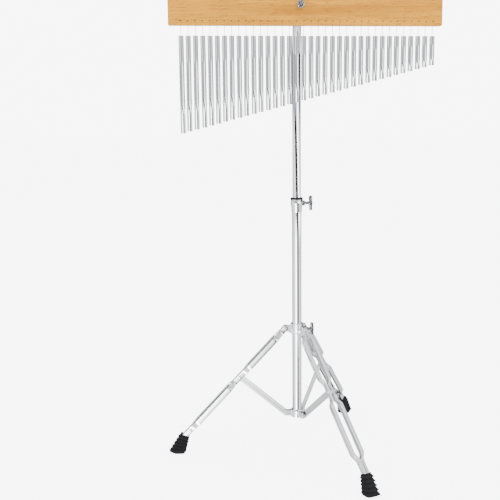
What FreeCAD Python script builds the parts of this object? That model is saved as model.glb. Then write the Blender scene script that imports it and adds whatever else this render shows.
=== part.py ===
"""Bar chimes on a folding tripod stand: a wooden beam with 36 hanging bars on a bent, telescoping arm.

Frame: millimetres, +Z up. The origin is on the floor, on the axis of the stand's tubes.
+X runs along the beam towards the shortest bar, and the arm reaches out along -Y.
"""
import FreeCAD, Part
import math
import os

V = FreeCAD.Vector
UP = V(0, 0, 1)
RIGHT = V(1, 0, 0)
BACK = V(0, 1, 0)

# ---- driving dimensions --------------------------------------------------------------------
# Telescoping tubes
BASE_TUBE_R = 12.7
BASE_TUBE_BOTTOM = 96.0
BASE_TUBE_TOP = 673.0
ARM_TUBE_R = 11.1
TUBE_WALL = 1.25
ARM_BOTTOM = 449.0
ARM_BEND_R = 105.0
ARM_LEVEL = 1157.0
ARM_TIP_Y = -163.0

# Height clamp at the top of the base tube
CLAMP_R = 16.0
CLAMP_TAPER_BOTTOM = 656.0
CLAMP_BODY_BOTTOM = 674.0
CLAMP_TOP = 690.2
CLAMP_SCREW_Z = 680.5
BUSHING_TOP = 695.0

# Folding tripod. Radii are from the tube's axis; leg and brace swing in vertical planes.
LEG_AZIMUTHS = {"left": 180.0, "rear": 60.0, "front": -60.0}
UPPER_PIVOT = (31.0, 345.0)
MIDDLE_PIVOT = (154.5, 211.0)
LOWER_PIVOT = (31.0, 107.5)
COLLAR_R = 16.0
COLLAR_BORE_R = 13.0
COLLAR_BOTTOM = 330.0
COLLAR_TOP = 358.0
COLLAR_SCREW_Z = 342.0
EAR_HALF = 2.75
PIN_R = 2.5
PIN_HEAD_R = 4.0

# Each leg is a pair of pressed U-channel strips, (distance along the leg, distance from its middle)
STRIP_SHEET = 1.5
STRIP_HALF_DEPTH = 7.5
STRIP_END = 409.0
STRIP_OUTER = [
    (-7.5, 8.0), (16.0, 8.0), (38.0, 18.0), (145.0, 18.0), (161.0, 8.0),
    (205.0, 8.0), (219.0, 18.0), (354.0, 18.0), (370.0, 8.0), (STRIP_END, 8.0),
]
STRIP_INNER = [
    (4.0, 3.4), (16.0, 3.4), (38.0, 10.0), (145.0, 10.0), (161.0, 3.4),
    (205.0, 3.4), (219.0, 10.0), (354.0, 10.0), (370.0, 1.0), (STRIP_END, 1.0),
]
FOOT_RIVET_AT = 382.0
BRACE_HALF_WIDTH = 8.0
BRACE_HALF_THICK = 2.75
BRACE_SHEET = 1.5

# Rubber foot: (radius, height) outline in the leg's plane, sole at height 0
FOOT_SOLE_IN = (304.0, 0.0)
FOOT_SOLE_OUT = (338.0, 0.0)
FOOT_TOE = (349.0, 7.0)
FOOT_TOP_OUT = (319.0, 54.5)
FOOT_TOP_MID = (309.5, 56.0)
FOOT_TOP_IN = (293.0, 43.5)
FOOT_RIDGES = 5
FOOT_RIDGE_DEPTH = 3.6
FOOT_HALF_WIDTH_LOW = 18.5
FOOT_HALF_WIDTH_TOP = 14.5

# Beam and bars
BEAM_X = (-304.0, 329.0)
BEAM_Z = (1109.5, 1169.0)
BEAM_THICK = 18.0
BEAM_FRONT_Y = -186.0
BEAM_EASE = 2.5
BAR_COUNT = 36
BAR_PITCH = 16.65
BAR_ROW_CENTRE = 15.9
BAR_R = 6.0
BAR_TOP = 1087.0
BAR_LONGEST = 222.5
BAR_SHORTEST = 66.5
CORD_R = 0.8
CORD_HOLE_R = 1.1
CORD_PIN_Z = 1119.5
CORD_PIN_R = 1.3
CORD_DEPTH_IN_BAR = 8.0
PIVOT_GAP = 0.7

# Beam fastening on the arm's tip
STUD_R = 4.0
STUD_TIP_Y = -221.0
SHOULDER = 1.5
RUBBER_PAD = 3.0
STEEL_WASHER = 1.6
BEAM_PLAY = 0.3

# ---- worked out from them --------------------------------------------------------------------
LEG_TILT = math.atan2(MIDDLE_PIVOT[0] - UPPER_PIVOT[0], UPPER_PIVOT[1] - MIDDLE_PIVOT[1])
LEG_TO_MIDDLE = math.hypot(MIDDLE_PIVOT[0] - UPPER_PIVOT[0], UPPER_PIVOT[1] - MIDDLE_PIVOT[1])
BRACE_TILT = math.atan2(MIDDLE_PIVOT[0] - LOWER_PIVOT[0], MIDDLE_PIVOT[1] - LOWER_PIVOT[1])
BRACE_LENGTH = math.hypot(MIDDLE_PIVOT[0] - LOWER_PIVOT[0], MIDDLE_PIVOT[1] - LOWER_PIVOT[1])
BEAM_BACK_Y = BEAM_FRONT_Y + BEAM_THICK
BEAM_MID_Y = BEAM_FRONT_Y + BEAM_THICK / 2


# ---- small helpers -----------------------------------------------------------------------------
def rod(radius, start, end):
    """A round bar from one point to another."""
    way = end - start
    return Part.makeCylinder(radius, way.Length, start, way)


def tube(outer, inner, start, end):
    """A round tube from one point to another."""
    way = (end - start).normalize()
    return rod(outer, start, end).cut(rod(inner, start - way, end + way))


def block(low, high):
    """A box between two corners."""
    return Part.makeBox(high[0] - low[0], high[1] - low[1], high[2] - low[2], V(*low))


def slab(outline, low, high):
    """A flat outline of (x, z) points, made solid between two values of y."""
    corners = [V(x, low, z) for x, z in outline]
    face = Part.Face(Part.makePolygon(corners + corners[:1]))
    return face.extrude(V(0, high - low, 0))


def turned(outline):
    """A solid of revolution about the Z axis from an outline of (radius, z) points."""
    corners = [V(r, 0, z) for r, z in outline]
    face = Part.Face(Part.makePolygon(corners + corners[:1]))
    return face.revolve(V(0, 0, 0), UP, 360)


def placed(shape, origin, x_way, z_way):
    """The shape moved so that its own x and z run along the two given directions."""
    y_way = z_way.cross(x_way)
    matrix = FreeCAD.Matrix(
        x_way.x, y_way.x, z_way.x, origin.x,
        x_way.y, y_way.y, z_way.y, origin.y,
        x_way.z, y_way.z, z_way.z, origin.z,
        0, 0, 0, 1,
    )
    moved = shape.copy()
    moved.Placement = FreeCAD.Placement(matrix).multiply(moved.Placement)
    return moved


def at_azimuth(shape, azimuth):
    """The shape turned about the tube's axis from +X to the azimuth, in degrees."""
    moved = shape.copy()
    moved.rotate(V(0, 0, 0), UP, azimuth)
    return moved


def export(node, solids):
    """Write one node, a single solid or a group of separate ones."""
    group = solids if isinstance(solids, list) else [solids]
    shape = group[0] if len(group) == 1 else Part.makeCompound(group)
    shape.exportStep("parts/%s.step" % node)
    print(node, "solids", len(shape.Solids), "mm3", round(shape.Volume), "valid", shape.isValid())


# ---- tubes and the height clamp ------------------------------------------------------------------
def base_tube():
    return tube(BASE_TUBE_R, BASE_TUBE_R - TUBE_WALL, V(0, 0, BASE_TUBE_BOTTOM), V(0, 0, BASE_TUBE_TOP))


def arm_path():
    """The arm's centre line: up, round a quarter bend, and out level to the tip."""
    bend_low = V(0, 0, ARM_LEVEL - ARM_BEND_R)
    bend_high = V(0, -ARM_BEND_R, ARM_LEVEL)
    half = ARM_BEND_R * math.sin(math.pi / 4)
    bend_mid = V(0, half - ARM_BEND_R, ARM_LEVEL - ARM_BEND_R + half)
    rise = Part.LineSegment(V(0, 0, ARM_BOTTOM), bend_low).toShape()
    bend = Part.Arc(bend_low, bend_mid, bend_high).toShape()
    reach = Part.LineSegment(bend_high, V(0, ARM_TIP_Y, ARM_LEVEL)).toShape()
    return Part.Wire([rise, bend, reach])


def swept_rod(path, radius):
    ring = Part.Wire([Part.makeCircle(radius, V(0, 0, ARM_BOTTOM), UP)])
    return path.makePipeShell([ring], True, False)


def arm_tube():
    path = arm_path()
    return swept_rod(path, ARM_TUBE_R).cut(swept_rod(path, ARM_TUBE_R - TUBE_WALL))


def height_clamp():
    """The cast clamp: a cylinder that tapers down on to the base tube, bored for its screw."""
    body = turned([
        (BASE_TUBE_R + 0.05, CLAMP_TAPER_BOTTOM), (BASE_TUBE_R + 1.0, CLAMP_TAPER_BOTTOM),
        (CLAMP_R - 1.6, CLAMP_BODY_BOTTOM - 1.0), (CLAMP_R, CLAMP_BODY_BOTTOM),
        (CLAMP_R, CLAMP_TOP), (BASE_TUBE_R + 0.05, CLAMP_TOP),
    ])
    nose = rod(6.0, V(CLAMP_R - 2.5, 0, CLAMP_SCREW_Z), V(CLAMP_R + 1.0, 0, CLAMP_SCREW_Z))
    bore = rod(3.05, V(ARM_TUBE_R, 0, CLAMP_SCREW_Z), V(CLAMP_R + 5.0, 0, CLAMP_SCREW_Z))
    hollow = rod(BASE_TUBE_R + 0.05, V(0, 0, CLAMP_TAPER_BOTTOM), V(0, 0, CLAMP_TOP))
    return body.fuse(nose).cut(hollow).cut(bore).removeSplitter()


def clamp_bushing():
    """The nylon sleeve that guides the arm, with a flange that closes the clamp's mouth."""
    sleeve = turned([
        (ARM_TUBE_R + 0.3, BASE_TUBE_TOP + 0.5), (BASE_TUBE_R - 0.25, BASE_TUBE_TOP + 0.5),
        (BASE_TUBE_R - 0.25, CLAMP_TOP + 0.3), (CLAMP_R + 0.6, CLAMP_TOP + 0.3),
        (CLAMP_R + 0.6, BUSHING_TOP - 1.0), (CLAMP_R - 0.4, BUSHING_TOP),
        (ARM_TUBE_R + 0.3, BUSHING_TOP),
    ])
    return sleeve


def t_screw(tip, seat, handle, reach):
    """A T-handled screw along +X: tip, black seat washer, smooth neck and a rounded cross handle."""
    thread = rod(3.0, V(tip, 0, 0), V(seat + 1.0, 0, 0))
    neck = rod(3.9, V(seat + 0.2, 0, 0), V(handle + 2.0, 0, 0))
    hub = rod(5.8, V(handle, 0, 0), V(handle + 10.5, 0, 0))
    wing = block((handle + 0.5, -2.6, -reach + 5.0), (handle + 10.0, 2.6, reach - 5.0))
    ends = [
        Part.makeCylinder(4.75, 5.2, V(handle + 5.25, -2.6, side * (reach - 5.0)), BACK)
        for side in (-1, 1)
    ]
    return thread.fuse([neck, hub, wing] + ends).removeSplitter()


def screw_washer(seat, thickness):
    return tube(7.4, 4.2, V(seat, 0, 0), V(seat + thickness, 0, 0))


def clamp_screw():
    seat = CLAMP_R + 1.2
    solids = [t_screw(BASE_TUBE_R - 0.1, seat, 31.0, 20.0), screw_washer(seat, 3.8)]
    return [placed(s, V(0, 0, CLAMP_SCREW_Z), RIGHT, UP) for s in solids]


def collar_screw():
    seat = COLLAR_R + 6.2
    solids = [t_screw(COLLAR_BORE_R + 0.1, seat, 35.0, 17.5), screw_washer(seat, 3.0)]
    return [placed(s, V(0, 0, COLLAR_SCREW_Z), RIGHT, UP) for s in solids]


# ---- tripod ----------------------------------------------------------------------------------------
def tripod_collar():
    """The sliding collar: a lipped sleeve with one ear per leg and a boss for its screw."""
    lip = 0.8
    sleeve = turned([
        (COLLAR_BORE_R, COLLAR_BOTTOM), (COLLAR_R + lip, COLLAR_BOTTOM),
        (COLLAR_R + lip, COLLAR_BOTTOM + 2.0), (COLLAR_R, COLLAR_BOTTOM + 2.6),
        (COLLAR_R, COLLAR_TOP - 2.6), (COLLAR_R + lip, COLLAR_TOP - 2.0),
        (COLLAR_R + lip, COLLAR_TOP), (COLLAR_BORE_R, COLLAR_TOP),
    ])
    r, z = UPPER_PIVOT
    root = COLLAR_R - 1.5
    web = slab(
        [(root, z - 15.0), (root, z + 8.5), (r, z + STRIP_HALF_DEPTH), (r, z - STRIP_HALF_DEPTH)],
        -EAR_HALF, EAR_HALF,
    )
    eye = Part.makeCylinder(STRIP_HALF_DEPTH, 2 * EAR_HALF, V(r, -EAR_HALF, z), BACK)
    hole = Part.makeCylinder(PIN_R + 0.02, 2 * EAR_HALF + 2, V(r, -EAR_HALF - 1, z), BACK)
    ear = web.fuse(eye).cut(hole)
    boss = rod(6.5, V(COLLAR_R - 2.0, 0, COLLAR_SCREW_Z), V(COLLAR_R + 6.0, 0, COLLAR_SCREW_Z))
    ears = [at_azimuth(ear, azimuth) for azimuth in LEG_AZIMUTHS.values()]
    bore = rod(3.05, V(COLLAR_BORE_R - 3.0, 0, COLLAR_SCREW_Z), V(COLLAR_R + 8.0, 0, COLLAR_SCREW_Z))
    hollow = rod(COLLAR_BORE_R, V(0, 0, COLLAR_BOTTOM), V(0, 0, COLLAR_TOP))
    return sleeve.fuse(ears + [boss]).cut(hollow).cut(bore).removeSplitter()


def headed_pin(pivot, inner_head, azimuth):
    """A pivot pin across the leg's plane, with a domed head at each end."""
    r, z = pivot
    end = inner_head + 2.0
    shank = Part.makeCylinder(PIN_R, 2 * end, V(r, -end, z), BACK)
    heads = []
    for side in (-1, 1):
        start = V(r, side * inner_head, z)
        heads.append(Part.makeCone(PIN_HEAD_R, PIN_HEAD_R - 1.2, 2.0, start, V(0, side, 0)))
    return at_azimuth(shank.fuse(heads).removeSplitter(), azimuth)


def collar_pins():
    return [headed_pin(UPPER_PIVOT, 8.35, azimuth) for azimuth in LEG_AZIMUTHS.values()]


def brace_pins():
    return [headed_pin(LOWER_PIVOT, 5.95, azimuth) for azimuth in LEG_AZIMUTHS.values()]


def lower_collar():
    """The fixed collar near the tube's foot, with a forked ear for each brace."""
    r, z = LOWER_PIVOT
    half = 10.5
    sleeve = tube(COLLAR_R, BASE_TUBE_R + 0.02, V(0, 0, z - half), V(0, 0, z + half))
    hole = Part.makeCylinder(PIN_R + 0.02, 20, V(r, -10, z), BACK)
    ears = []
    for side in (-1, 1):
        near, far = sorted((side * 3.3, side * 5.8))
        plate = block((COLLAR_R - 2.5, near, z - 7.5), (r, far, z + 7.5))
        eye = Part.makeCylinder(7.5, far - near, V(r, near, z), BACK)
        ears.append(plate.fuse(eye).cut(hole))
    body = sleeve
    for azimuth in LEG_AZIMUTHS.values():
        body = body.fuse([at_azimuth(ear, azimuth) for ear in ears])
    hollow = rod(BASE_TUBE_R + 0.02, V(0, 0, z - half), V(0, 0, z + half))
    return body.cut(hollow).removeSplitter()


def ribbon(upper, lower, low, high):
    """A band in the strip's (along, across) plane, made solid through the strip's depth."""
    corners = [V(s, low, t) for s, t in upper] + [V(s, low, t) for s, t in reversed(lower)]
    face = Part.Face(Part.makePolygon(corners + corners[:1]))
    return face.extrude(V(0, high - low, 0))


def leg_strip():
    """One pressed strip in leg axes: x down the leg, y out of it, z across it."""
    depth = STRIP_HALF_DEPTH
    web = ribbon(STRIP_OUTER, [(s, t - STRIP_SHEET) for s, t in STRIP_OUTER], -depth, depth)
    edge = [(STRIP_INNER[0][0], STRIP_OUTER[0][1])] + STRIP_OUTER[1:]
    flanges = [
        ribbon(edge, STRIP_INNER, low, low + STRIP_SHEET)
        for low in (-depth, depth - STRIP_SHEET)
    ]
    silhouette = block((0, -depth, 0), (STRIP_END, depth, 20)).fuse(
        Part.makeCylinder(depth, 20, V(0, 0, 0), UP)
    )
    strip = web.fuse(flanges).common(silhouette)
    for at, radius in ((0.0, PIN_R + 0.05), (LEG_TO_MIDDLE, PIN_R + 0.02), (FOOT_RIVET_AT, 2.42)):
        strip = strip.cut(rod(radius, V(at, 0, 0), V(at, 0, 20)))
    return strip.removeSplitter()


def half_rivet():
    """The middle pivot's rivet end, held in one strip and clear of the brace."""
    seat = STRIP_OUTER[0][1]
    shank = rod(PIN_R, V(LEG_TO_MIDDLE, 0, seat - STRIP_SHEET), V(LEG_TO_MIDDLE, 0, seat))
    head = Part.makeCone(PIN_HEAD_R, PIN_HEAD_R - 1.2, 1.8, V(LEG_TO_MIDDLE, 0, seat), UP)
    return shank.fuse(head).removeSplitter()


def leg():
    """Both strips with their rivets and the spacer by the foot, in leg axes."""
    solids = []
    for one in (leg_strip(), half_rivet()):
        solids += [one, one.mirror(V(0, 0, 0), UP)]
    seat = STRIP_OUTER[0][1]
    shank = rod(2.4, V(FOOT_RIVET_AT, 0, -seat), V(FOOT_RIVET_AT, 0, seat))
    heads = [
        Part.makeCone(4.0, 2.8, 1.6, V(FOOT_RIVET_AT, 0, side * seat), V(0, 0, side))
        for side in (-1, 1)
    ]
    solids.append(shank.fuse(heads).removeSplitter())
    inside = seat - STRIP_SHEET
    solids.append(tube(5.0, 2.42, V(FOOT_RIVET_AT, 0, -inside), V(FOOT_RIVET_AT, 0, inside)))
    return solids


def brace():
    """A pressed channel with rounded ends, in its own axes: x up the brace, z across it."""
    half, thick = BRACE_HALF_WIDTH, BRACE_HALF_THICK
    outer = block((0, -half, -thick), (BRACE_LENGTH, half, thick)).fuse([
        Part.makeCylinder(half, 2 * thick, V(0, 0, -thick), UP),
        Part.makeCylinder(half, 2 * thick, V(BRACE_LENGTH, 0, -thick), UP),
    ])
    inner = half - BRACE_SHEET
    trough = block((0, -inner, -thick), (BRACE_LENGTH, inner, thick - BRACE_SHEET)).fuse([
        Part.makeCylinder(inner, 2 * thick - BRACE_SHEET, V(0, 0, -thick), UP),
        Part.makeCylinder(inner, 2 * thick - BRACE_SHEET, V(BRACE_LENGTH, 0, -thick), UP),
    ])
    channel = outer.cut(trough)
    for at in (0.0, BRACE_LENGTH):
        channel = channel.cut(rod(PIN_R + 0.05, V(at, 0, -thick), V(at, 0, thick)))
    return channel.removeSplitter()


def along_leg(shape, azimuth):
    down = V(math.sin(LEG_TILT), 0, -math.cos(LEG_TILT))
    r, z = UPPER_PIVOT
    return at_azimuth(placed(shape, V(r, 0, z), down, V(0, -1, 0)), azimuth)


def along_brace(shape, azimuth):
    out = V(math.sin(BRACE_TILT), 0, math.cos(BRACE_TILT))
    r, z = LOWER_PIVOT
    return at_azimuth(placed(shape, V(r, 0, z), out, BACK), azimuth)


def foot():
    """The ribbed rubber shoe: its side outline crossed with its tapering front outline."""
    outline = [FOOT_SOLE_IN, FOOT_SOLE_OUT, FOOT_TOE]
    toe, top = V(FOOT_TOE[0], 0, FOOT_TOE[1]), V(FOOT_TOP_OUT[0], 0, FOOT_TOP_OUT[1])
    way = (top - toe) / FOOT_RIDGES
    inward = V(-way.z, 0, way.x).normalize() * FOOT_RIDGE_DEPTH
    for ridge in range(FOOT_RIDGES):
        root = toe + way * (ridge + 0.3) + inward
        tip = toe + way * (ridge + 1)
        outline += [(root.x, root.z), (tip.x, tip.z)]
    outline += [FOOT_TOP_MID, FOOT_TOP_IN]
    side_view = slab(outline, -25.0, 25.0)
    low, high = FOOT_HALF_WIDTH_LOW, FOOT_HALF_WIDTH_TOP
    top_z = FOOT_TOP_MID[1] + 2.0
    front = [V(280, -low, 0), V(280, low, 0), V(280, high, top_z), V(280, -high, top_z)]
    front_view = Part.Face(Part.makePolygon(front + front[:1])).extrude(V(80, 0, 0))
    shoe = side_view.common(front_view)
    upright = [e for e in shoe.Edges if abs(e.tangentAt(e.FirstParameter).z) > 0.9 and e.Length > 30.0]
    shoe = shoe.makeFillet(4.0, upright) if upright else shoe
    half_depth = STRIP_HALF_DEPTH + 0.05
    half_width = STRIP_OUTER[-1][1] + 0.05
    pocket = block((376.0, -half_depth, -half_width), (STRIP_END + 0.3, half_depth, half_width))
    return shoe.cut(along_leg(pocket, 0.0)).removeSplitter()


# ---- beam, its fastening and the bars ------------------------------------------------------------
def bar_x(index):
    return BAR_ROW_CENTRE + (index - (BAR_COUNT - 1) / 2) * BAR_PITCH


def bar_length(index):
    return BAR_LONGEST + (BAR_SHORTEST - BAR_LONGEST) * index / (BAR_COUNT - 1)


def wood_beam():
    """The eased plank, bored for the stud, the cord pins and the cords."""
    plank = block((BEAM_X[0], BEAM_FRONT_Y, BEAM_Z[0]), (BEAM_X[1], BEAM_BACK_Y, BEAM_Z[1]))
    plank = plank.makeFillet(BEAM_EASE, plank.Edges)
    bores = [rod(STUD_R + 0.4, V(0, BEAM_FRONT_Y - 1, ARM_LEVEL), V(0, BEAM_BACK_Y + 1, ARM_LEVEL))]
    for index in range(BAR_COUNT):
        x = bar_x(index)
        across = (V(x, BEAM_FRONT_Y - 1, CORD_PIN_Z), V(x, BEAM_BACK_Y + 1, CORD_PIN_Z))
        bores.append(rod(CORD_PIN_R + 0.2, *across))
        bores.append(rod(CORD_HOLE_R, V(x, BEAM_MID_Y, BEAM_Z[0] - 1), V(x, BEAM_MID_Y, CORD_PIN_Z)))
    return plank.cut(bores)


def cord_anchors():
    """Inside the beam: the cross pins, and the stretch of each cord that hangs from its pin."""
    solids = []
    half_pin = BEAM_THICK / 2 - 1.5
    for index in range(BAR_COUNT):
        x = bar_x(index)
        ends = (V(x, BEAM_MID_Y - half_pin, CORD_PIN_Z), V(x, BEAM_MID_Y + half_pin, CORD_PIN_Z))
        solids.append(rod(CORD_PIN_R, *ends))
        top = V(x, BEAM_MID_Y, CORD_PIN_Z - CORD_PIN_R - 0.02)
        solids.append(rod(CORD_R, top, V(x, BEAM_MID_Y, BEAM_Z[0] + 0.05)))
    return solids


def chime(index):
    """One bar, drilled down its axis and across, with the cord that it hangs by."""
    x, y = bar_x(index), BEAM_MID_Y
    bottom = BAR_TOP - bar_length(index)
    bar = Part.makeCylinder(BAR_R, BAR_TOP - bottom, V(x, y, bottom))
    rims = [e for e in bar.Edges if e.Closed]
    bar = bar.makeChamfer(0.5, rims)
    cord_end = BAR_TOP - CORD_DEPTH_IN_BAR
    bar = bar.cut(rod(CORD_HOLE_R, V(x, y, cord_end - 1.0), V(x, y, BAR_TOP + 1)))
    bar = bar.cut(rod(CORD_HOLE_R, V(x, y - 10, cord_end), V(x, y + 10, cord_end)))
    cord = rod(CORD_R, V(x, y, cord_end), V(x, y, BEAM_Z[0] - PIVOT_GAP))
    return [bar, cord]


def arm_stud():
    """The plug in the arm's open end, its shoulder and the threaded stud."""
    inside = ARM_TUBE_R - TUBE_WALL - 0.02
    plug = rod(inside, V(0, ARM_TIP_Y + 18.0, ARM_LEVEL), V(0, ARM_TIP_Y, ARM_LEVEL))
    shoulder = rod(ARM_TUBE_R, V(0, ARM_TIP_Y, ARM_LEVEL), V(0, ARM_TIP_Y - SHOULDER, ARM_LEVEL))
    stud = rod(STUD_R, V(0, ARM_TIP_Y, ARM_LEVEL), V(0, STUD_TIP_Y, ARM_LEVEL))
    rims = [e for e in stud.Edges if e.Closed and abs(e.CenterOfMass.y - STUD_TIP_Y) < 0.1]
    return plug.fuse([shoulder, stud.makeChamfer(0.8, rims)]).removeSplitter()


def washer(radius, start, end):
    """A flat ring on the stud between two values of y."""
    return tube(radius, STUD_R + 0.1, V(0, start, ARM_LEVEL), V(0, end, ARM_LEVEL))


def washer_stack():
    """Where the front pad, the steel washer and the nut start, counted out from the beam's face."""
    pad = BEAM_FRONT_Y - BEAM_PLAY
    steel = pad - RUBBER_PAD - 0.02
    nut = steel - STEEL_WASHER - BEAM_PLAY
    return pad, steel, nut


def beam_washers():
    """Rubber pads against both faces of the beam, and the steel washer under the nut."""
    pad, steel, _ = washer_stack()
    return [
        washer(12.5, BEAM_BACK_Y + 0.02, ARM_TIP_Y - SHOULDER - 0.02),
        washer(9.0, pad, pad - RUBBER_PAD),
        washer(8.5, steel, steel - STEEL_WASHER),
    ]


def beam_wing_nut():
    """A round-winged nut, its wings standing nearly upright."""
    seat = washer_stack()[2]
    hub = Part.makeCone(7.5, 6.0, 9.0, V(0, seat, 0), V(0, -1, 0))
    wing_outline = [
        (2.0, 1.5), (8.0, 3.0), (14.0, 9.0), (15.0, 14.5),
        (12.0, 17.0), (7.5, 14.5), (5.0, 9.0), (2.0, 9.0),
    ]
    wings = []
    for side in (-1, 1):
        corners = [V(side * across, seat - out, -1.9) for across, out in wing_outline]
        face = Part.Face(Part.makePolygon(corners + corners[:1]))
        wings.append(face.extrude(V(0, 0, 3.8)))
    thread = rod(STUD_R + 0.05, V(0, seat + 1, 0), V(0, seat - 30, 0))
    nut = hub.fuse(wings).cut(thread).removeSplitter()
    nut.rotate(V(0, 0, 0), BACK, -68.0)
    nut.translate(V(0, 0, ARM_LEVEL))
    return nut


# ---- write every node ------------------------------------------------------------------------------
os.makedirs("parts", exist_ok=True)

export("base_tube", base_tube())
export("height_clamp", height_clamp())
export("clamp_bushing", clamp_bushing())
export("clamp_screw", clamp_screw())
export("arm_tube", arm_tube())
export("arm_stud", arm_stud())
export("beam_washers", beam_washers())
export("beam_wing_nut", beam_wing_nut())
export("wood_beam", wood_beam())
export("cord_anchors", cord_anchors())
export("tripod_collar", tripod_collar())
export("collar_screw", collar_screw())
export("collar_pins", collar_pins())
export("lower_collar", lower_collar())
export("brace_pins", brace_pins())

for name, azimuth in LEG_AZIMUTHS.items():
    export("leg_" + name, [along_leg(solid, azimuth) for solid in leg()])
    export("brace_" + name, along_brace(brace(), azimuth))
    export("foot_" + name, at_azimuth(foot(), azimuth))

for index in range(BAR_COUNT):
    export("chime_%02d" % (index + 1), chime(index))
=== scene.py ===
"""Bar chimes on a folding stand: the looks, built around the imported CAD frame, in metres."""
import math
import random

import bmesh
import bpy
from mathutils import Matrix, Vector


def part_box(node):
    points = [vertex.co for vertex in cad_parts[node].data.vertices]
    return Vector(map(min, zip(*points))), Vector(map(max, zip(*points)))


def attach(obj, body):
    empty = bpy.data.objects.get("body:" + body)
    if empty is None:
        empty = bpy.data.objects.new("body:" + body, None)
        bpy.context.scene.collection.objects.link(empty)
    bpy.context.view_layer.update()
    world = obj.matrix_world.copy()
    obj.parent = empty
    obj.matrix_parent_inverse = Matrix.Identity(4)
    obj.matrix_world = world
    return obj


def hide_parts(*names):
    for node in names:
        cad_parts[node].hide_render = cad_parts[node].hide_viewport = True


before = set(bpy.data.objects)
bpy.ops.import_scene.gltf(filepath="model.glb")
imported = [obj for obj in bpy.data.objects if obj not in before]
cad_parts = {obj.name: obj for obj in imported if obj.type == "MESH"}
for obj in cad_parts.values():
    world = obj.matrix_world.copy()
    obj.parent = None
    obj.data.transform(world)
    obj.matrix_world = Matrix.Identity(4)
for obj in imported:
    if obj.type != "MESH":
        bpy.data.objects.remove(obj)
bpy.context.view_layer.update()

MM = 0.001
LEGS = {"left": math.radians(180), "rear": math.radians(60), "front": math.radians(-60)}
BAR_COUNT = 36

# Tripod, in millimetres as in the CAD source: (radius, height) of the pivots in each leg's plane
UPPER_PIVOT = (31.0, 345.0)
MIDDLE_PIVOT = (154.5, 211.0)
SHEET = 1.5
HALF_DEPTH = 7.5
STRIP_TOP = -7.5
STRIP_END = 408.5
STRIP_OUTER = [
    (STRIP_TOP, 8.0), (16.0, 8.0), (38.0, 18.0), (145.0, 18.0), (161.0, 8.0),
    (205.0, 8.0), (219.0, 18.0), (354.0, 18.0), (370.0, 8.0), (STRIP_END, 8.0),
]
STRIP_INNER = [
    (STRIP_TOP, 6.45), (0.0, 6.45), (9.0, 3.4), (16.0, 3.4), (38.0, 10.0), (145.0, 10.0), (161.0, 3.4),
    (205.0, 3.4), (219.0, 10.0), (354.0, 10.0), (370.0, 1.0), (STRIP_END, 1.0),
]
FOOT_RIVET_AT = 382.0

# Rubber foot: (radius, height) of the heel and toe ends of its sole, waist and top in the leg's plane
FOOT_SOLE = ((304.5, 0.0), (338.0, 0.0))
FOOT_WAIST = ((303.0, 5.0), (348.5, 7.0))
FOOT_TOP = ((293.3, 43.5), (318.8, 54.3))
FOOT_LIP = 0.08
FOOT_RIDGES = 5
FOOT_SIDE_FIN = 6.0
FOOT_TOE_FIN = 3.4
FOOT_HEEL_FIN = 0.6
FOOT_HALF_WIDTH = (18.4, 14.6)
FOOT_SQUARENESS = 4.5

BAR_R = 6.0
BAR_BORE_R = 1.1
BAR_BELOW_BEAM = 22.5
BAR_LEAN = 0.25
CORD_STRAND_R = 0.42
CORD_TWIST_R = 0.4
CORD_IN_BAR = 7.0
CORD_TURNS = 2.5

# Screws, stud and nut
T_BAR_HALF_WIDTH = 4.75
T_BAR_HALF_DEPTH = 2.6
T_BAR_CENTRE = 5.25
T_HUB_R = 5.8
T_HUB_LENGTH = 10.5
T_SHANK_R = 2.95
T_NECK_R = 3.9
WASHER_R = (4.15, 7.4)
STUD_R = 4.0
STUD_PITCH = 1.25
THREAD_DEPTH = 0.62
PLUG_R = 9.6
SHOULDER_R = 11.1
NUT_R = (7.4, 6.1)
NUT_HEIGHT = 9.0
NUT_TURN = 68.0
WING_OUTLINE = [
    (2.5, 1.5), (8.0, 2.6), (14.0, 8.0), (14.7, 13.0), (12.6, 16.6), (9.0, 15.6), (6.0, 10.5), (4.2, 8.5),
]

# Camera: fitted to the photo's feet, pivots, clamp, beam and bars
CAMERA_PLACE = (-0.1121, -2.0805, 0.8973)
CAMERA_TURN = -2.594
CAMERA_DOWN = 9.305
CAMERA_ROLL = -0.175
CAMERA_LENS = 57.56
CAMERA_SHIFT = -0.08

# Surround. This is not plain studio light: the tones are grey levels by azimuth in degrees (0 is the front,
# 90 the right) in four bands of height, set so that the metal's streaks fall where the photo's do.
# The camera sees BACKDROP behind the object, and matt surfaces are lit by EVEN_LIGHT, below and above.
BACKDROP = 8.0
FLOOR_GLOW = 5.6
EVEN_LIGHT = (1.7, 2.5)
OVERHEAD_TONES = [
    (-180, 0.30), (-110, 0.35), (-85, 2.4), (-40, 2.4), (-25, 0.9), (25, 0.9), (44, 1.6), (100, 1.6),
    (120, 0.30), (180, 0.30),
]
TOP_TONES = [
    (-180, 1.4), (-165, 1.4), (-158, 0.10), (-128, 0.10), (-112, 0.95), (-60, 0.9), (-20, 0.95), (14, 1.1),
    (24, 4.6), (60, 4.6), (68, 0.04), (157, 0.04), (165, 1.4), (180, 1.4),
]
MIDDLE_TONES = [
    (-180, 1.6), (-166, 1.6), (-160, 0.15), (-145, 0.15), (-120, 1.3), (-75, 1.9), (-45, 2.6), (-31, 2.4),
    (-27, 0.02), (25, 0.02), (31, 2.0), (44, 7.5), (66, 7.5), (80, 1.9), (120, 1.5), (145, 0.15), (160, 0.15),
    (166, 1.6), (180, 1.6),
]
LOW_TONES = [
    (-180, 1.6), (-166, 1.6), (-160, 0.15), (-145, 0.15), (-120, 1.3), (-100, 1.5), (-65, 2.0), (-38, 2.6),
    (-25, 13.0), (-7, 13.0), (-4, 4.0), (1, 3.0), (4, 0.30), (30, 0.34), (46, 0.6), (60, 2.0), (90, 1.6),
    (125, 1.3), (145, 0.15), (160, 0.15), (166, 1.6), (180, 1.6),
]
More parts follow.
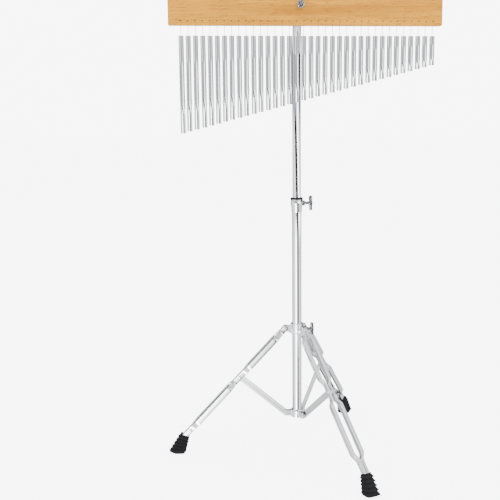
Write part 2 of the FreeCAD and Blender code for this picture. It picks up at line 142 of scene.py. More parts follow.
# The heights (of the unit direction) over which one band gives way to the next
LOW_TO_MIDDLE = (-0.150, -0.120)
MIDDLE_TO_TOP = (-0.022, -0.006)
TOP_TO_OVERHEAD = (0.112, 0.135)
# The middle band's drift: between these heights its tones move round by these parts of a turn
DRIFT_HEIGHTS = (-0.13, 0.0)
DRIFT_TURNS = (14.0 / 360, -42.0 / 360)


# ---- mesh helpers ------------------------------------------------------------------------------
def mesh_piece(name, verts, faces, material, body, slot, replaced=(), sharp=35.0):
    """A new piece from millimetre points, riding on its body."""
    mesh = bpy.data.meshes.new(name)
    mesh.from_pydata([tuple(Vector(v) * MM) for v in verts], [], faces)
    clean = bmesh.new()
    clean.from_mesh(mesh)
    bmesh.ops.recalc_face_normals(clean, faces=clean.faces)
    clean.to_mesh(mesh)
    clean.free()
    mesh.shade_smooth()
    mesh.set_sharp_from_angle(angle=math.radians(sharp))
    mesh.materials.append(material)
    piece = bpy.data.objects.new(name, mesh)
    bpy.context.scene.collection.objects.link(piece)
    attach(piece, body)
    if replaced:
        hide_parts(*replaced)
    return piece


def join_parts(parts):
    """Several (verts, faces) lists as one."""
    verts, faces = [], []
    for part_verts, part_faces in parts:
        base = len(verts)
        verts += part_verts
        faces += [[base + i for i in face] for face in part_faces]
    return verts, faces


def moved(part, matrix):
    verts, faces = part
    return [matrix @ Vector(v) for v in verts], faces


def grid_faces(rows, columns, close_rows=False):
    """Quads between consecutive closed rings of points."""
    faces = []
    for j in range(rows if close_rows else rows - 1):
        k = (j + 1) % rows
        for i in range(columns):
            n = (i + 1) % columns
            faces.append([j * columns + i, j * columns + n, k * columns + n, k * columns + i])
    return faces


def lathe(profile, segments=48, closed=False):
    """A solid of revolution about local Z from (radius, z) points; open ends are capped."""
    verts = []
    for r, z in profile:
        for i in range(segments):
            a = 2 * math.pi * i / segments
            verts.append(Vector((r * math.cos(a), r * math.sin(a), z)))
    faces = grid_faces(len(profile), segments, closed)
    if not closed:
        faces.append(list(range(segments)))
        faces.append(list(range((len(profile) - 1) * segments, len(profile) * segments)))
    return verts, faces


def rounded(corners, radius, steps=4):
    """An open outline of 2D points with its inner corners rounded."""
    result = [corners[0]]
    for before, corner, after in zip(corners, corners[1:], corners[2:]):
        b, c, a = Vector(before), Vector(corner), Vector(after)
        reach = min(radius, (b - c).length * 0.49, (a - c).length * 0.49)
        start, end = c + (b - c).normalized() * reach, c + (a - c).normalized() * reach
        for i in range(steps + 1):
            t = i / steps
            result.append(tuple((1 - t) ** 2 * start + 2 * t * (1 - t) * c + t * t * end))
    result.append(corners[-1])
    return result


def rounded_loop(corners, radius, steps=4):
    """A closed outline with every corner rounded."""
    wrapped = [corners[-1]] + list(corners) + [corners[0]]
    return rounded(wrapped, radius, steps)[1:-1]


def prism(outline, low, high, edge=0.0, steps=3):
    """A closed 2D outline made solid from low to high along local Z, with its rims rounded over."""
    n = len(outline)
    centre = sum((Vector(p) for p in outline), Vector((0, 0))) / n
    normals = []
    for i in range(n):
        way = (Vector(outline[(i + 1) % n]) - Vector(outline[i - 1])).normalized()
        normals.append(Vector((way.y, -way.x)))
    if sum(normals[i].dot(Vector(outline[i]) - centre) for i in range(n)) < 0:
        normals = [-v for v in normals]
    rings = []
    for i in range(steps + 1):
        a = math.pi / 2 * i / steps
        rings.append((low + edge * (1 - math.cos(a)), edge * (1 - math.sin(a))))
    levels = rings if edge else [(low, 0.0)]
    levels += [(low + high - z, inset) for z, inset in levels[::-1]]
    verts = []
    for z, inset in levels:
        for point, normal in zip(outline, normals):
            shifted = Vector(point) - normal * inset
            verts.append(Vector((shifted.x, shifted.y, z)))
    faces = grid_faces(len(levels), n)
    faces.append(list(range(n)))
    faces.append(list(range((len(levels) - 1) * n, len(levels) * n)))
    return verts, faces


def frame_of(origin, z_way, x_way):
    """The matrix that puts local Z along z_way and local X near x_way."""
    z = Vector(z_way).normalized()
    x = (Vector(x_way) - z * Vector(x_way).dot(z)).normalized()
    y = z.cross(x)
    return Matrix.Translation(Vector(origin)) @ Matrix((x, y, z)).transposed().to_4x4()


# ---- node materials ----------------------------------------------------------------------------
def new_material(name, colour, metallic=0.0, roughness=0.5):
    material = bpy.data.materials.new(name)
    material.use_nodes = True
    shader = material.node_tree.nodes["Principled BSDF"]
    shader.inputs["Base Color"].default_value = (*colour, 1.0)
    shader.inputs["Metallic"].default_value = metallic
    shader.inputs["Roughness"].default_value = roughness
    return material


def add(material, kind, **inputs):
    """A new node with the named inputs set."""
    node = material.node_tree.nodes.new(kind)
    for key, value in inputs.items():
        node.inputs[key.replace("_", " ")].default_value = value
    return node


def link(material, source, target):
    material.node_tree.links.new(source, target)


def stretched_noise(material, scale, noise_scale, detail=4.0, roughness=0.55):
    """3D noise in object space, stretched by a scale per axis."""
    place = add(material, "ShaderNodeTexCoord")
    mapping = add(material, "ShaderNodeMapping", Scale=scale)
    noise = add(material, "ShaderNodeTexNoise", Scale=noise_scale, Detail=detail, Roughness=roughness)
    link(material, place.outputs["Object"], mapping.inputs["Vector"])
    link(material, mapping.outputs["Vector"], noise.inputs["Vector"])
    return noise


def ramp(material, source, stops):
    """A colour ramp fed by a value output; stops are (position, colour)."""
    node = add(material, "ShaderNodeValToRGB")
    elements = node.color_ramp.elements
    while len(elements) > len(stops):
        elements.remove(elements[-1])
    while len(elements) < len(stops):
        elements.new(1.0)
    for element, (position, colour) in zip(elements, stops):
        element.position = position
        element.color = (*colour, 1.0)
    link(material, source, node.inputs["Fac"])
    return node


def vary_roughness(material, source, low, high):
    node = add(material, "ShaderNodeMapRange", From_Min=0.3, From_Max=0.7, To_Min=low, To_Max=high)
    link(material, source, node.inputs["Value"])
    link(material, node.outputs["Result"], material.node_tree.nodes["Principled BSDF"].inputs["Roughness"])


def bump(material, source, strength, distance):
    shader = material.node_tree.nodes["Principled BSDF"]
    node = add(material, "ShaderNodeBump", Strength=strength, Distance=distance)
    link(material, source, node.inputs["Height"])
    if shader.inputs["Normal"].links:
        link(material, shader.inputs["Normal"].links[0].from_socket, node.inputs["Normal"])
    link(material, node.outputs["Normal"], shader.inputs["Normal"])


def chrome_material():
    """Bright chrome plate: faint orange peel, and smudges that dull it here and there."""
    material = new_material("chrome_plate", (0.80, 0.81, 0.83), 1.0, 0.05)
    smudge = stretched_noise(material, (1, 1, 1), 35.0, 5.0)
    vary_roughness(material, smudge.outputs["Fac"], 0.03, 0.08)
    tone = ramp(material, smudge.outputs["Fac"], [(0.3, (0.76, 0.77, 0.79)), (0.7, (0.84, 0.85, 0.86))])
    link(material, tone.outputs["Color"], material.node_tree.nodes["Principled BSDF"].inputs["Base Color"])
    peel = stretched_noise(material, (1, 1, 1), 420.0, 2.0)
    bump(material, peel.outputs["Fac"], 0.02, 0.0002)
    return material


def pressed_chrome_material():
    """The strips' thinner plating over pressed sheet: softer, with draw lines along the metal."""
    material = new_material("pressed_chrome", (0.80, 0.81, 0.82), 1.0, 0.14)
    cloud = stretched_noise(material, (1, 1, 1), 60.0, 4.0)
    vary_roughness(material, cloud.outputs["Fac"], 0.08, 0.18)
    wave = stretched_noise(material, (1, 1, 1), 25.0, 2.0)
    bump(material, wave.outputs["Fac"], 0.05, 0.002)
    return material


def aluminium_material():
    """Satin drawn aluminium: fine lines along the bar, slightly uneven grey."""
    material = new_material("satin_aluminium", (0.66, 0.67, 0.68), 1.0, 0.12)
    lines = stretched_noise(material, (900, 900, 6), 1.0, 3.0)
    vary_roughness(material, lines.outputs["Fac"], 0.08, 0.15)
    cloud = stretched_noise(material, (60, 60, 14), 1.0, 3.0)
    tone = ramp(material, cloud.outputs["Fac"], [(0.3, (0.60, 0.61, 0.62)), (0.7, (0.71, 0.72, 0.73))])
    link(material, tone.outputs["Color"], material.node_tree.nodes["Principled BSDF"].inputs["Base Color"])
    bump(material, lines.outputs["Fac"], 0.05, 0.0001)
    return material


def wood_material():
    """Lacquered beech: straight grain along X, soft growth bands, short dark flecks, fine pores."""
    material = new_material("beech_wood", (0.75, 0.48, 0.25), 0.0, 0.38)
    shader = material.node_tree.nodes["Principled BSDF"]
    bands = stretched_noise(material, (1.3, 14, 34), 1.0, 4.0, 0.5)
    base = ramp(material, bands.outputs["Fac"], [
        (0.28, (0.60, 0.225, 0.006)), (0.45, (0.80, 0.345, 0.012)), (0.60, (0.94, 0.430, 0.020)),
        (0.75, (0.70, 0.285, 0.009)),
    ])
    fibre = stretched_noise(material, (10, 420, 420), 1.0, 5.0, 0.6)
    fibre_tone = ramp(material, fibre.outputs["Fac"], [(0.34, (0.66, 0.58, 0.48)), (0.62, (1.0, 1.0, 1.0))])
    fleck = stretched_noise(material, (70, 900, 700), 1.0, 1.0, 0.5)
    fleck_tone = ramp(material, fleck.outputs["Fac"], [(0.60, (1.0, 1.0, 1.0)), (0.70, (0.58, 0.44, 0.34))])
    first = add(material, "ShaderNodeMix")
    second = add(material, "ShaderNodeMix")
    for node in (first, second):
        node.data_type = "RGBA"
        node.blend_type = "MULTIPLY"
        node.inputs[0].default_value = 0.75
    link(material, base.outputs["Color"], first.inputs[6])
    link(material, fibre_tone.outputs["Color"], first.inputs[7])
    link(material, first.outputs[2], second.inputs[6])
    link(material, fleck_tone.outputs["Color"], second.inputs[7])
    link(material, second.outputs[2], shader.inputs["Base Color"])
    vary_roughness(material, fibre.outputs["Fac"], 0.30, 0.46)
    bump(material, fibre.outputs["Fac"], 0.12, 0.0003)
    shader.inputs["Specular IOR Level"].default_value = 0.25
    return material


def dark_material(name, colour, roughness, sheen, grain, depth):
    """Moulded black rubber or nylon: fine grain in the bump, slight tone change."""
    material = new_material(name, colour, 0.0, roughness)
    material.node_tree.nodes["Principled BSDF"].inputs["Specular IOR Level"].default_value = sheen
    noise = stretched_noise(material, (1, 1, 1), grain, 4.0)
    vary_roughness(material, noise.outputs["Fac"], roughness - 0.08, roughness + 0.1)
    lighter = tuple(c * 2.2 for c in colour)
    tone = ramp(material, noise.outputs["Fac"], [(0.35, colour), (0.8, lighter)])
    link(material, tone.outputs["Color"], material.node_tree.nodes["Principled BSDF"].inputs["Base Color"])
    bump(material, noise.outputs["Fac"], 0.25, depth)
    return material


def cord_material():
    """Pale nylon line."""
    material = new_material("nylon_line", (0.82, 0.82, 0.80), 0.0, 0.35)
    noise = stretched_noise(material, (1, 1, 1), 1500.0, 2.0)
    vary_roughness(material, noise.outputs["Fac"], 0.28, 0.45)
    bump(material, noise.outputs["Fac"], 0.15, 0.0002)
    return material


def pin_material():
    """The brown cross pins, seen end on in the beam's face."""
    material = new_material("brown_pin", (0.16, 0.07, 0.03), 0.0, 0.6)
    noise = stretched_noise(material, (1, 1, 1), 900.0, 3.0)
    tone = ramp(material, noise.outputs["Fac"], [(0.3, (0.020, 0.007, 0.002)), (0.7, (0.050, 0.018, 0.006))])
    link(material, tone.outputs["Color"], material.node_tree.nodes["Principled BSDF"].inputs["Base Color"])
    return material


def dimmed_chrome_material():
    """Chrome for the handles, the stud and the nut, its colour darkened to a slightly grainy grey: painted dark
    reflection.
    """
    material = new_material("chrome_painted_dark", (0.22, 0.225, 0.235), 1.0, 0.16)
    grain = stretched_noise(material, (1, 1, 1), 260.0, 4.0)
    vary_roughness(material, grain.outputs["Fac"], 0.12, 0.24)
    bump(material, grain.outputs["Fac"], 0.06, 0.0003)
    return material


CHROME = chrome_material()
# Chrome with its colour darkened for the handles, stud and nut: painted dark reflection.
DIMMED_CHROME = dimmed_chrome_material()
PRESSED = pressed_chrome_material()
ALUMINIUM = aluminium_material()
WOOD = wood_material()
NYLON = dark_material("black_nylon", (0.005, 0.005, 0.006), 0.50, 0.30, 300.0, 0.0003)
RUBBER = dark_material("black_rubber", (0.008, 0.008, 0.009), 0.78, 0.18, 500.0, 0.0005)
CORD = cord_material()
PIN = pin_material()


# ---- bars and cords ----------------------------------------------------------------------------
def bar_part(length):
    """A bar from its top at z = 0 down, with eased rims and the cord's bore in its top."""
    ease, depth = 0.6, 9.0
    outline = [
        (BAR_BORE_R * 0.2, -depth), (BAR_BORE_R, -depth + 0.6), (BAR_BORE_R, -0.35), (BAR_BORE_R + 0.35, 0.0),
        (BAR_R - ease, 0.0), (BAR_R - 0.3 * ease, -0.3 * ease), (BAR_R, -ease),
        (BAR_R, -length * 0.33), (BAR_R, -length * 0.66),
        (BAR_R, -length + ease), (BAR_R - 0.3 * ease, -length + 0.3 * ease), (BAR_R - ease, -length),
        (BAR_R * 0.5, -length),
    ]
    return lathe(outline, 40)


def strand_part(top, bottom, start, turns):
    """One strand of the doubled cord, winding round the axis from top to bottom."""
    steps, sides = 36, 8
    points = []
    for i in range(steps + 1):
        t = i / steps
        a = start + turns * 2 * math.pi * t
        z = top + (bottom - top) * t
        points.append(Vector((CORD_TWIST_R * math.cos(a), CORD_TWIST_R * math.sin(a), z)))
    verts = []
    for i, point in enumerate(points):
        way = points[min(i + 1, steps)] - points[max(i - 1, 0)]
        turn = way.to_track_quat("Z", "X")
        for k in range(sides):
            b = 2 * math.pi * k / sides
            verts.append(point + turn @ Vector((CORD_STRAND_R * math.cos(b), CORD_STRAND_R * math.sin(b), 0)))
    faces = grid_faces(steps + 1, sides)
    faces.append(list(range(sides)))
    faces.append(list(range(steps * sides, (steps + 1) * sides)))
    return verts, faces


def make_bars():
    chance = random.Random(36)
    beam_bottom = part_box("wood_beam")[0].z / MM
    for index in range(BAR_COUNT):
        node = "chime_%02d" % (index + 1)
        low, high = (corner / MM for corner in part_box(node))
        x, y = (low.x + high.x) / 2, (low.y + high.y) / 2
        top = beam_bottom - BAR_BELOW_BEAM
        hang = Matrix.Translation((x, y, beam_bottom))
        hang = hang @ Matrix.Rotation(math.radians(chance.uniform(-BAR_LEAN, BAR_LEAN)), 4, "Y")
        hang = hang @ Matrix.Rotation(chance.uniform(0, 2 * math.pi), 4, "Z")
        drop = Matrix.Translation((0, 0, -BAR_BELOW_BEAM))
        bar = moved(bar_part(top - low.z - 0.05), hang @ drop)
        mesh_piece("bar_%02d" % (index + 1), *bar, ALUMINIUM, node, "satin_aluminium", [node])
        bottom = -BAR_BELOW_BEAM - CORD_IN_BAR
        strands = [moved(strand_part(-0.25, bottom, start, CORD_TURNS), hang) for start in (0.0, math.pi)]
        mesh_piece("cord_%02d" % (index + 1), *join_parts(strands), CORD, node, "nylon_cord", [node])


# ---- legs ----------------------------------------------------------------------------------------
def polyline_at(points, s):
    for (s0, t0), (s1, t1) in zip(points, points[1:]):
        if s <= s1:
            return t0 + (t1 - t0) * max(0.0, s - s0) / (s1 - s0)
    return points[-1][1]


def smoothed_at(points, s, reach=4.5):
    """The polyline averaged over a short reach, so that each bend is a smooth radius."""
    samples = [polyline_at(points, s + reach * k / 6) for k in range(-6, 7)]
    return sum(samples) / len(samples)


def strip_section(outer, inner, half, side):
    """The strip's U section in (out of the leg, across it) points."""
    corner, inside = 2.2, 0.9
    back = outer - SHEET
    flange = min(inner, back - 0.05)
    points = [(-half + SHEET * 0.5, flange - 0.1), (-half + 0.2, flange + 0.25)]
    points += rounded([(-half, flange + 0.5), (-half, outer), (half, outer), (half, flange + 0.5)], corner, 5)
    points += [(half - 0.2, flange + 0.25), (half - SHEET * 0.5, flange - 0.1), (half - SHEET, flange + 0.3)]
    points += rounded([(half - SHEET, flange + 0.3), (half - SHEET, back), (SHEET - half, back),
                       (SHEET - half, flange + 0.3)], inside, 3)
    return [(n, side * t) for n, t in points]


def strip_part(side):
    """One pressed strip in leg axes: x down the leg, y out of it, z across it."""
    stations = [STRIP_TOP + 0.25, -7.0, -6.2, -5.0, -3.2, -1.2, 1.0]
    stations += [3.0 + 2.5 * k for k in range(int((STRIP_END - 3.0) / 2.5) + 1)] + [STRIP_END]
    verts, columns = [], 0
    for s in stations:
        half = HALF_DEPTH if s >= 0 else math.sqrt(max(HALF_DEPTH ** 2 - s * s, 2.5))
        section = strip_section(smoothed_at(STRIP_OUTER, s), smoothed_at(STRIP_INNER, s, 3.0), half, side)
        columns = len(section)
        verts += [Vector((s, n, t)) for n, t in section]
    faces = grid_faces(len(stations), columns)
    faces.append(list(range(columns)))
    faces.append(list(range((len(stations) - 1) * columns, len(stations) * columns)))
    return verts, faces


def leg_matrix(azimuth):
    """From leg axes to the row frame, in millimetres."""
    tilt = math.atan2(MIDDLE_PIVOT[0] - UPPER_PIVOT[0], UPPER_PIVOT[1] - MIDDLE_PIVOT[1])
    down = Vector((math.sin(tilt), 0, -math.cos(tilt)))
    local = frame_of((UPPER_PIVOT[0], 0, UPPER_PIVOT[1]), Vector((0, -1, 0)), down)
    return Matrix.Rotation(azimuth, 4, "Z") @ local


def domed_head(radius, height):
    """A rivet's head standing on z = 0."""
    profile = [(radius, -0.2), (radius, height * 0.25)]
    for i in range(1, 6):
        a = math.pi / 2 * i / 6
        profile.append((radius * math.cos(a) + 0.05, height * (0.25 + 0.75 * math.sin(a))))
    return lathe(profile, 32)


def make_leg(name, azimuth):
    to_frame = leg_matrix(azimuth)
    body = "leg_" + name
    for side, word in ((1, "a"), (-1, "b")):
        strip = moved(strip_part(side), to_frame)
        mesh_piece("leg_%s_strip_%s" % (name, word), *strip, PRESSED, body, "chromed_steel", [body])
    middle_at = math.hypot(MIDDLE_PIVOT[0] - UPPER_PIVOT[0], UPPER_PIVOT[1] - MIDDLE_PIVOT[1])
    heads = []
    for at, radius, height in ((middle_at, 4.0, 1.8), (FOOT_RIVET_AT, 4.0, 1.6)):
        for side in (-1, 1):
            seat = frame_of((at, 0, side * STRIP_OUTER[0][1]), (0, 0, side), (1, 0, 0))
            heads.append(moved(domed_head(radius, height), to_frame @ seat))
    inside = STRIP_OUTER[0][1] - SHEET
    spacer = lathe([(5.0, -inside), (5.0, inside)], 32)
    heads.append(moved(spacer, to_frame @ frame_of((FOOT_RIVET_AT, 0, 0), (0, 0, 1), (1, 0, 0))))
    mesh_piece("leg_%s_rivets" % name, *join_parts(heads), CHROME, body, "chromed_steel", [body])


# ---- feet ----------------------------------------------------------------------------------------
def foot_part():
    """The ribbed shoe: rounded sections from the sole up, with fins round the flanks and the toe."""
    columns, rows = 72, 61
    power = 2 / FOOT_SQUARENESS
    verts = []
    for j in range(rows):
        u = j / (rows - 1)
        if u < FOOT_LIP:
            below, above, t = FOOT_SOLE, FOOT_WAIST, math.sin(u / FOOT_LIP * math.pi / 2)
        else:
            below, above, t = FOOT_WAIST, FOOT_TOP, (u - FOOT_LIP) / (1 - FOOT_LIP)
        ends = [Vector(a).lerp(Vector(b), t) for a, b in zip(below, above)]
        fin = (t * FOOT_RIDGES % 1.0) ** 0.8 if FOOT_LIP <= u < 1 else 0.0
        half_width = FOOT_HALF_WIDTH[0] + (FOOT_HALF_WIDTH[1] - FOOT_HALF_WIDTH[0]) * u
        rim = min(1.0, 0.86 + 2.5 * u, 0.90 + 2.5 * (1 - u))
        centre, along = (ends[0] + ends[1]) / 2, (ends[1] - ends[0]) / 2
        for i in range(columns):
            a = 2 * math.pi * i / columns
            c, s = math.cos(a), math.sin(a)
            x = math.copysign(abs(c) ** power, c)
            y = math.copysign(abs(s) ** power, s)
            shrink_x = 1 - fin * (FOOT_TOE_FIN if c > 0 else FOOT_HEEL_FIN) / along.length
            shrink_y = 1 - fin * FOOT_SIDE_FIN / half_width
            point = centre + along * x * rim * shrink_x
            verts.append(Vector((point.x, y * half_width * rim * shrink_y, point.y)))
    faces = grid_faces(rows, columns)
    faces.append(list(range(columns)))
    faces.append(list(range((rows - 1) * columns, rows * columns)))
    return verts, faces


def make_foot(name, azimuth):
    shoe = moved(foot_part(), Matrix.Rotation(azimuth, 4, "Z"))
    mesh_piece("shoe_" + name, *shoe, RUBBER, "leg_" + name, "ribbed_rubber", ["foot_" + name], 32.0)


# ---- screws, nut and stud --------------------------------------------------------------------------
def t_handle_part(handle, reach):
    """A T handle on local X: a hub and a flat bar with round ends, all softly rounded."""
    half, centre = T_BAR_HALF_WIDTH, handle + T_BAR_CENTRE
    stadium = []
    for side in (1, -1):
        for i in range(13):
            a = math.pi * i / 12
            stadium.append((centre + side * half * math.cos(a), side * (reach - half + half * math.sin(a))))
    upright = frame_of((0, 0, 0), (0, 1, 0), (1, 0, 0)) @ Matrix.Scale(-1, 4, (0, 1, 0))
    bar = moved(prism(stadium, -T_BAR_HALF_DEPTH, T_BAR_HALF_DEPTH, 1.6), upright)
    hub = lathe(rounded([(0.4, 0.0), (T_HUB_R, 0.0), (T_HUB_R, T_HUB_LENGTH), (0.4, T_HUB_LENGTH)], 1.6, 4), 40)
    hub = moved(hub, frame_of((handle, 0, 0), (1, 0, 0), (0, 0, 1)))
    return join_parts([bar, hub])


def washer_part(inner, outer, low, high, edge, steps=4, segments=48):
    """A washer about local Z with rounded edges."""
    section = rounded_loop([(inner, low), (outer, low), (outer, high), (inner, high)], edge, steps)
    return lathe(section, segments, True)


def make_t_screw(name, node, seat, washer, handle, reach):
    """Replaces a clamp screw's node: neck, handle and the black washer it bears on."""
    low, high = (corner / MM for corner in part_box(node))
    z = (low.z + high.z) / 2
    along_x = frame_of((0, 0, z), (1, 0, 0), (0, 0, 1))
    tip, end = low.x + 0.1, handle + 2.0
    neck = lathe(rounded([
        (0.3, tip), (T_SHANK_R, tip), (T_SHANK_R, seat), (T_NECK_R, seat), (T_NECK_R, end), (0.3, end),
    ], 0.4, 2), 36)
    parts = [moved(neck, along_x), moved(t_handle_part(handle, reach), Matrix.Translation((0, 0, z)))]
    mesh_piece(name, *join_parts(parts), DIMMED_CHROME, node, "chromed_steel", [node])
    ring = washer_part(WASHER_R[0], WASHER_R[1], seat, seat + washer, 0.7, 3, 40)
    mesh_piece(name + "_washer", *moved(ring, along_x), NYLON, node, "black_nylon", [node])


def stud_part(low, high):
    """The threaded stud along local Z: a helical ridge over a plain core, with a tapered tip."""
    columns, rows = 48, int((high - low) / STUD_PITCH * 10)
    verts = []
    for j in range(rows + 1):
        z = low + (high - low) * j / rows
        taper = min(1.0, 0.82 + (high - z) / 4.0)
        for i in range(columns):
            a = 2 * math.pi * i / columns
            phase = (z / STUD_PITCH + i / columns) % 1.0
            ridge = 1 - abs(2 * phase - 1)
            r = (STUD_R - THREAD_DEPTH * (1 - ridge)) * taper
            verts.append(Vector((r * math.cos(a), r * math.sin(a), z)))
    faces = grid_faces(rows + 1, columns)
    faces.append(list(range(columns)))
    faces.append(list(range(rows * columns, (rows + 1) * columns)))
    return verts, faces


def make_fastening():
    """What holds the beam, along the stud's axis towards the front: tip, thread, pads, washer and wing nut."""
    low, high = (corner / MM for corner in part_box("arm_stud"))
    beam_low, beam_high = (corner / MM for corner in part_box("wood_beam"))
    washers_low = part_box("beam_washers")[0] / MM
    nut_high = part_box("beam_wing_nut")[1] / MM
    tube_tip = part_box("arm_tube")[0].y / MM
    at_stud = frame_of((0, 0, (low.z + high.z) / 2), (0, -1, 0), (1, 0, 0))
    shoulder = lathe(rounded([
        (0.5, -high.y + 1), (PLUG_R, -high.y + 1), (PLUG_R, -tube_tip), (SHOULDER_R, -tube_tip),
        (SHOULDER_R, -tube_tip + 1.5), (0.5, -tube_tip + 1.5),
    ], 0.5, 3), 48)
    mesh_piece("arm_tip", *moved(shoulder, at_stud), CHROME, "arm", "chromed_steel", ["arm_stud"])
    stud = stud_part(-tube_tip + 1.0, -low.y)
    mesh_piece("stud_thread", *moved(stud, at_stud), DIMMED_CHROME, "arm", "chromed_steel", ["arm_stud"], 60.0)
    inner = STUD_R + 0.1
    back = (-beam_high.y - 0.02, -tube_tip + 1.52)
    front = (-beam_low.y + 0.3, -beam_low.y + 3.3)
    pads = []
    for (z0, z1), radius in ((sorted(back), 12.5), (front, 9.0)):
        pads.append(washer_part(inner, radius, z0, z1, 0.8))
    mesh_piece("beam_pads", *moved(join_parts(pads), at_stud), RUBBER, "arm", "black_rubber", ["beam_washers"])
    steel = washer_part(inner, 8.5, front[1] + 0.02, -washers_low.y, 0.4, 3)
    mesh_piece("steel_washer", *moved(steel, at_stud), CHROME, "arm", "chromed_steel", ["beam_washers"])
    seat = -nut_high.y
    crown = seat + NUT_HEIGHT
    hub = rounded_loop([(inner, seat), (NUT_R[0], seat), (NUT_R[1], crown), (inner, crown)], 1.0, 4)
    parts = [lathe(hub, 48, True)]
    swap_y_and_z = Matrix(((1, 0, 0, 0), (0, 0, 1, 0), (0, 1, 0, 0), (0, 0, 0, 1)))
    for side in (1, -1):
        outline = rounded_loop([(side * a, seat + b) for a, b in WING_OUTLINE], 2.2, 4)
        parts.append(moved(prism(outline, -1.9, 1.9, 1.2), swap_y_and_z))
    nut = moved(join_parts(parts), at_stud @ Matrix.Rotation(math.radians(NUT_TURN), 4, "Z"))
    mesh_piece("wing_nut_body", *nut, DIMMED_CHROME, "wing_nut", "chromed_steel", ["beam_wing_nut"])


# ---- finishes for the CAD nodes that stay --------------------------------------------------------
def dress_cad_nodes():
    finishes = {
        "base_tube": CHROME, "height_clamp": CHROME, "clamp_bushing": NYLON, "arm_tube": CHROME,
        "wood_beam": WOOD, "cord_anchors": PIN, "tripod_collar": CHROME, "collar_pins": CHROME,
        "lower_collar": CHROME, "brace_pins": CHROME, "brace_left": PRESSED, "brace_rear": PRESSED,
        "brace_front": PRESSED,
    }
    edges = {
        "height_clamp": 0.5, "clamp_bushing": 0.4, "tripod_collar": 0.5, "collar_pins": 0.3,
        "lower_collar": 0.5, "brace_pins": 0.3, "brace_left": 0.4, "brace_rear": 0.4, "brace_front": 0.4,
    }
    for node, material in finishes.items():
        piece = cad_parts[node]
        piece.data.materials.clear()
        piece.data.materials.append(material)
        weld = piece.modifiers.new("weld", "WELD")
        weld.merge_threshold = 0.00001
        if node in edges:
            soften = piece.modifiers.new("soften", "BEVEL")
            soften.width = edges[node] * MM
            soften.segments = 3
            soften.limit_method = "ANGLE"
            soften.angle_limit = math.radians(32)
            soften.harden_normals = True


# ---- floor, light and camera ---------------------------------------------------------------------
def make_floor():
    """A pale, glowing floor, hidden from reflections and from bounced light."""
    mesh = bpy.data.meshes.new("floor")
    size = 40.0
    corners = [(-size, -size, 0), (size, -size, 0), (size, size, 0), (-size, size, 0)]
    mesh.from_pydata(corners, [], [[0, 1, 2, 3]])
    material = new_material("pale_floor", (0.90, 0.90, 0.90), 0.0, 0.9)
    shader = material.node_tree.nodes["Principled BSDF"]
    shader.inputs["Emission Color"].default_value = (1.0, 1.0, 1.0, 1.0)
    shader.inputs["Emission Strength"].default_value = FLOOR_GLOW
    shader.inputs["Specular IOR Level"].default_value = 0.0
    noise = stretched_noise(material, (1, 1, 1), 8.0, 3.0)
    vary_roughness(material, noise.outputs["Fac"], 0.85, 0.95)
    mesh.materials.append(material)
    floor = bpy.data.objects.new("floor", mesh)
    bpy.context.scene.collection.objects.link(floor)
    floor.visible_glossy = False
    floor.visible_diffuse = False


def tone_ramp(tree, source, tones):
    """One band's tones round the object, read at a part of a turn that starts behind it."""
    node = tree.nodes.new("ShaderNodeValToRGB")
    elements = node.color_ramp.elements
    while len(elements) < len(tones):
        elements.new(1.0)
    for element, (azimuth, tone) in zip(elements, tones):
        element.position = azimuth / 360 + 0.5
        element.color = (tone, tone, tone * 1.01, 1.0)
    tree.links.new(source, node.inputs["Fac"])
    return node.outputs["Color"]


def world_math(tree, operation, first, second=0.0):
    node = tree.nodes.new("ShaderNodeMath")
    node.operation = operation
    for socket, value in zip(node.inputs, (first, second)):
        if isinstance(value, bpy.types.NodeSocket):
            tree.links.new(value, socket)
        else:
            socket.default_value = value
    return node.outputs[0]


def world_range(tree, source, between, results=(0.0, 1.0)):
    """Maps a value between two limits onto two results, and holds it beyond them."""
    node = tree.nodes.new("ShaderNodeMapRange")
    for key, value in zip(("From Min", "From Max", "To Min", "To Max"), between + results):
        node.inputs[key].default_value = value
    tree.links.new(source, node.inputs["Value"])
    return node.outputs["Result"]


def world_mix(tree, factor, first, second):
    node = tree.nodes.new("ShaderNodeMix")
    node.data_type = "RGBA"
    tree.links.new(factor, node.inputs[0])
    for socket, value in ((node.inputs[6], first), (node.inputs[7], second)):
        if isinstance(value, bpy.types.NodeSocket):
            tree.links.new(value, socket)
        else:
            socket.default_value = value
    return node.outputs[2]


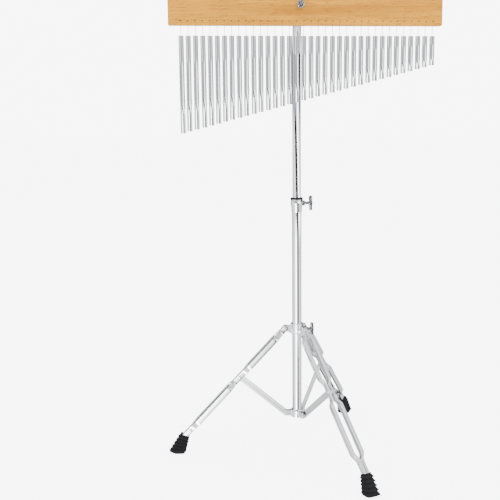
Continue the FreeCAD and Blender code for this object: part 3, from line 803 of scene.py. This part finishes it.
def make_world():
    """A backdrop for the camera, an even light for matt surfaces, and toned bands for the metal to reflect."""
    world = bpy.data.worlds.new("studio")
    world.use_nodes = True
    bpy.context.scene.world = world
    tree = world.node_tree
    place = tree.nodes.new("ShaderNodeTexCoord")
    split = tree.nodes.new("ShaderNodeSeparateXYZ")
    tree.links.new(place.outputs["Generated"], split.inputs["Vector"])
    height = split.outputs["Z"]
    front = world_math(tree, "MULTIPLY", split.outputs["Y"], -1.0)
    turn = world_math(tree, "ARCTAN2", split.outputs["X"], front)
    around = world_range(tree, turn, (-math.pi, math.pi))
    drift = world_range(tree, height, DRIFT_HEIGHTS, DRIFT_TURNS)
    leaning = world_math(tree, "FRACT", world_math(tree, "SUBTRACT", around, drift))
    overhead = tone_ramp(tree, around, OVERHEAD_TONES)
    top = tone_ramp(tree, around, TOP_TONES)
    middle = tone_ramp(tree, leaning, MIDDLE_TONES)
    low = tone_ramp(tree, around, LOW_TONES)
    bands = world_mix(tree, world_range(tree, height, LOW_TO_MIDDLE), low, middle)
    bands = world_mix(tree, world_range(tree, height, MIDDLE_TO_TOP), bands, top)
    bands = world_mix(tree, world_range(tree, height, TOP_TO_OVERHEAD), bands, overhead)
    even = world_range(tree, height, (-1.0, 1.0), EVEN_LIGHT)
    rays = tree.nodes.new("ShaderNodeLightPath")
    shown = world_mix(tree, rays.outputs["Is Diffuse Ray"], bands, even)
    shown = world_mix(tree, rays.outputs["Is Camera Ray"], shown, (BACKDROP, BACKDROP, BACKDROP, 1.0))
    tree.links.new(shown, tree.nodes["Background"].inputs["Color"])
    tree.nodes["Background"].inputs["Strength"].default_value = 1.0


def make_light(name, place, target, size, power):
    data = bpy.data.lights.new(name, "AREA")
    data.shape = "RECTANGLE"
    data.size, data.size_y = size
    data.energy = power
    light = bpy.data.objects.new(name, data)
    light.location = place
    light.rotation_euler = (Vector(target) - Vector(place)).to_track_quat("-Z", "Y").to_euler()
    bpy.context.scene.collection.objects.link(light)


def make_camera():
    """At the photo's viewing angle: a little left of the pole, above it and looking slightly down."""
    data = bpy.data.cameras.new("camera")
    data.sensor_width = 36.0
    data.lens = CAMERA_LENS
    data.shift_x = CAMERA_SHIFT
    camera = bpy.data.objects.new("camera", data)
    aim = Matrix.Rotation(math.radians(CAMERA_TURN), 4, "Z")
    aim = aim @ Matrix.Rotation(math.radians(90 - CAMERA_DOWN), 4, "X")
    aim = aim @ Matrix.Rotation(math.radians(CAMERA_ROLL), 4, "Z")
    camera.matrix_world = Matrix.Translation(CAMERA_PLACE) @ aim
    bpy.context.scene.collection.objects.link(camera)
    bpy.context.scene.camera = camera


make_bars()
for leg_name, leg_azimuth in LEGS.items():
    make_leg(leg_name, leg_azimuth)
    make_foot(leg_name, leg_azimuth)
make_t_screw("clamp_handle", "clamp_screw", seat=17.2, washer=3.8, handle=31.0, reach=20.0)
make_t_screw("collar_handle", "collar_screw", seat=22.2, washer=3.0, handle=35.0, reach=17.5)
make_fastening()
dress_cad_nodes()
make_floor()
make_world()
make_light("key", place=(1.2, -2.6, 4.0), target=(0, 0, 0.7), size=(2.4, 2.4), power=40.0)
make_camera()
